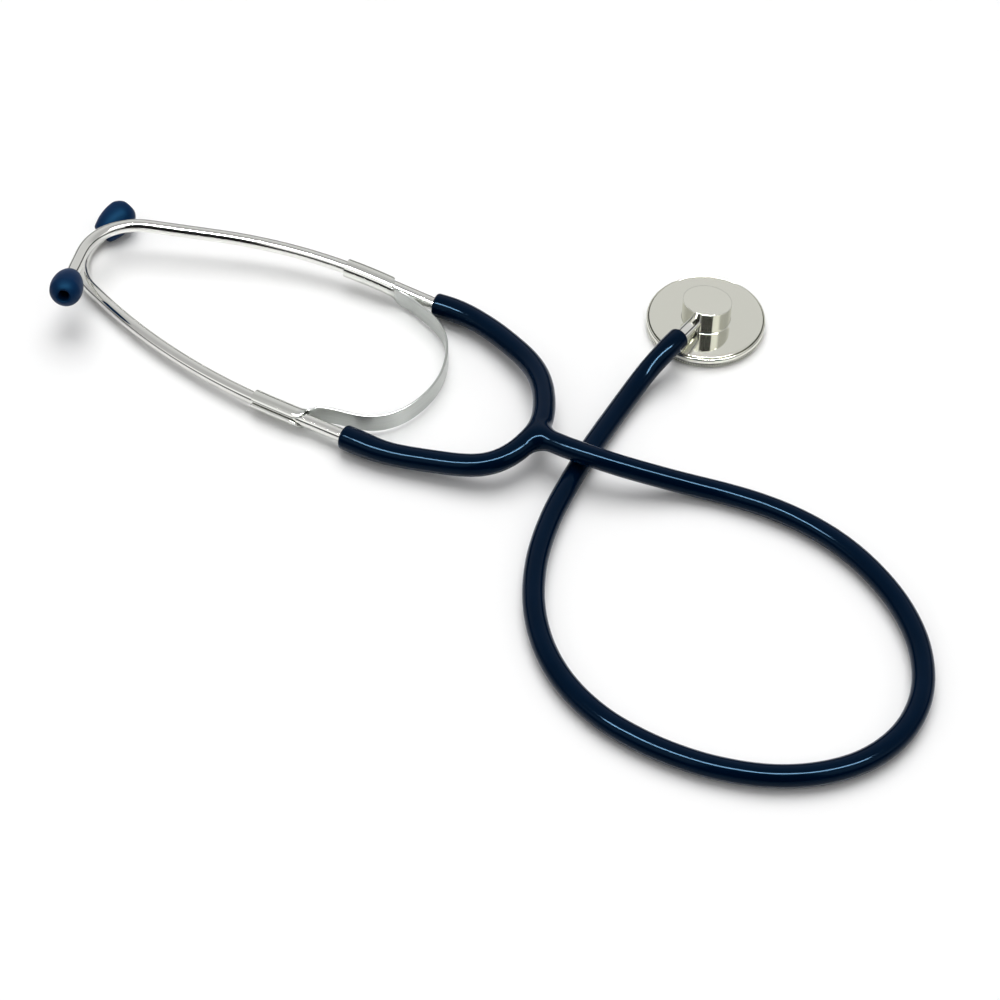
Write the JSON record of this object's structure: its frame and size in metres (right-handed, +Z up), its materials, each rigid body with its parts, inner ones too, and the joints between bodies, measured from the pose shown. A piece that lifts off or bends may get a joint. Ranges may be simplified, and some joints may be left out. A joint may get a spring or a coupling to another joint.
{
  "type": "stethoscope",
  "caption": "Single-head stethoscope lying coiled on a table: sprung steel ear tubes with soft ear tips, a moulded Y of navy tubing and a flat chrome chestpiece.",
  "frame": {"origin": "centre of the underside of the box round the headset and the chestpiece, tubing left out, on the table", "axes": "+X along the headset from the ear tips to the Y, +Y to the side where the chestpiece lies, +Z up from the table"},
  "size_m": [0.3853, 0.2224, 0.0254],
  "materials": {
    "chrome": "polished",
    "spring_steel": "satin",
    "tubing_vinyl": "gloss",
    "ear_tip_vinyl": "satin",
    "diaphragm_sheet": "satin"
  },
  "bodies": {
    "tubing": {"leaf_spring": "spring_steel", "left_arm": "tubing_vinyl", "right_arm": "tubing_vinyl", "y_junction": "tubing_vinyl", "main_tube": "tubing_vinyl"},
    "left_branch": {"ear_tube_left": "chrome"},
    "right_branch": {"ear_tube_right": "chrome"},
    "left_tip": {"ear_tip_left": "ear_tip_vinyl"},
    "right_tip": {"ear_tip_right": "ear_tip_vinyl"},
    "chestpiece": {"chestpiece_head": "chrome", "chestpiece_stem": "chrome", "diaphragm": "diaphragm_sheet"},
    "ring": {"retaining_ring": "chrome"}
  },
  "joints": [
    {"name": "right_spread", "type": "hinge", "parent": "tubing", "child": "right_branch", "pos_m": [0.0166, -0.053, 0.006], "axis": [0, 0, 1], "range_deg": [0, 40], "stiffness_Nm_per_rad": 0.45, "deforming": ["leaf_spring", "right_arm"]},
    {"name": "left_spread", "type": "hinge", "parent": "tubing", "child": "left_branch", "pos_m": [0.0166, -0.006, 0.006], "axis": [0, 0.2079, -0.9781], "range_deg": [0, 40], "stiffness_Nm_per_rad": 0.45, "deforming": ["leaf_spring", "left_arm"]},
    {"name": "left_tip_pull", "type": "slide", "parent": "left_branch", "child": "left_tip", "axis": [0.4064, -0.8552, 0.3217], "range_m": [0, 0.01]},
    {"name": "right_tip_pull", "type": "slide", "parent": "right_branch", "child": "right_tip", "axis": [0.2938, 0.8981, 0.3274], "range_m": [0, 0.01]},
    {"name": "chestpiece_swivel", "type": "hinge", "parent": "tubing", "child": "chestpiece", "pos_m": [0.1098, 0.049, 0.00828], "axis": [-0.1202, -0.9789, 0.165], "range_deg": [-90, 90]},
    {"name": "ring_turn", "type": "hinge", "parent": "chestpiece", "child": "ring", "pos_m": [0.1098, 0.049, 0.002], "axis": [0, 0, 1], "continuous": true}
  ],
  "couplings": [
    {"joint": "left_spread", "follows": "right_spread", "ratio": 1}
  ]
}
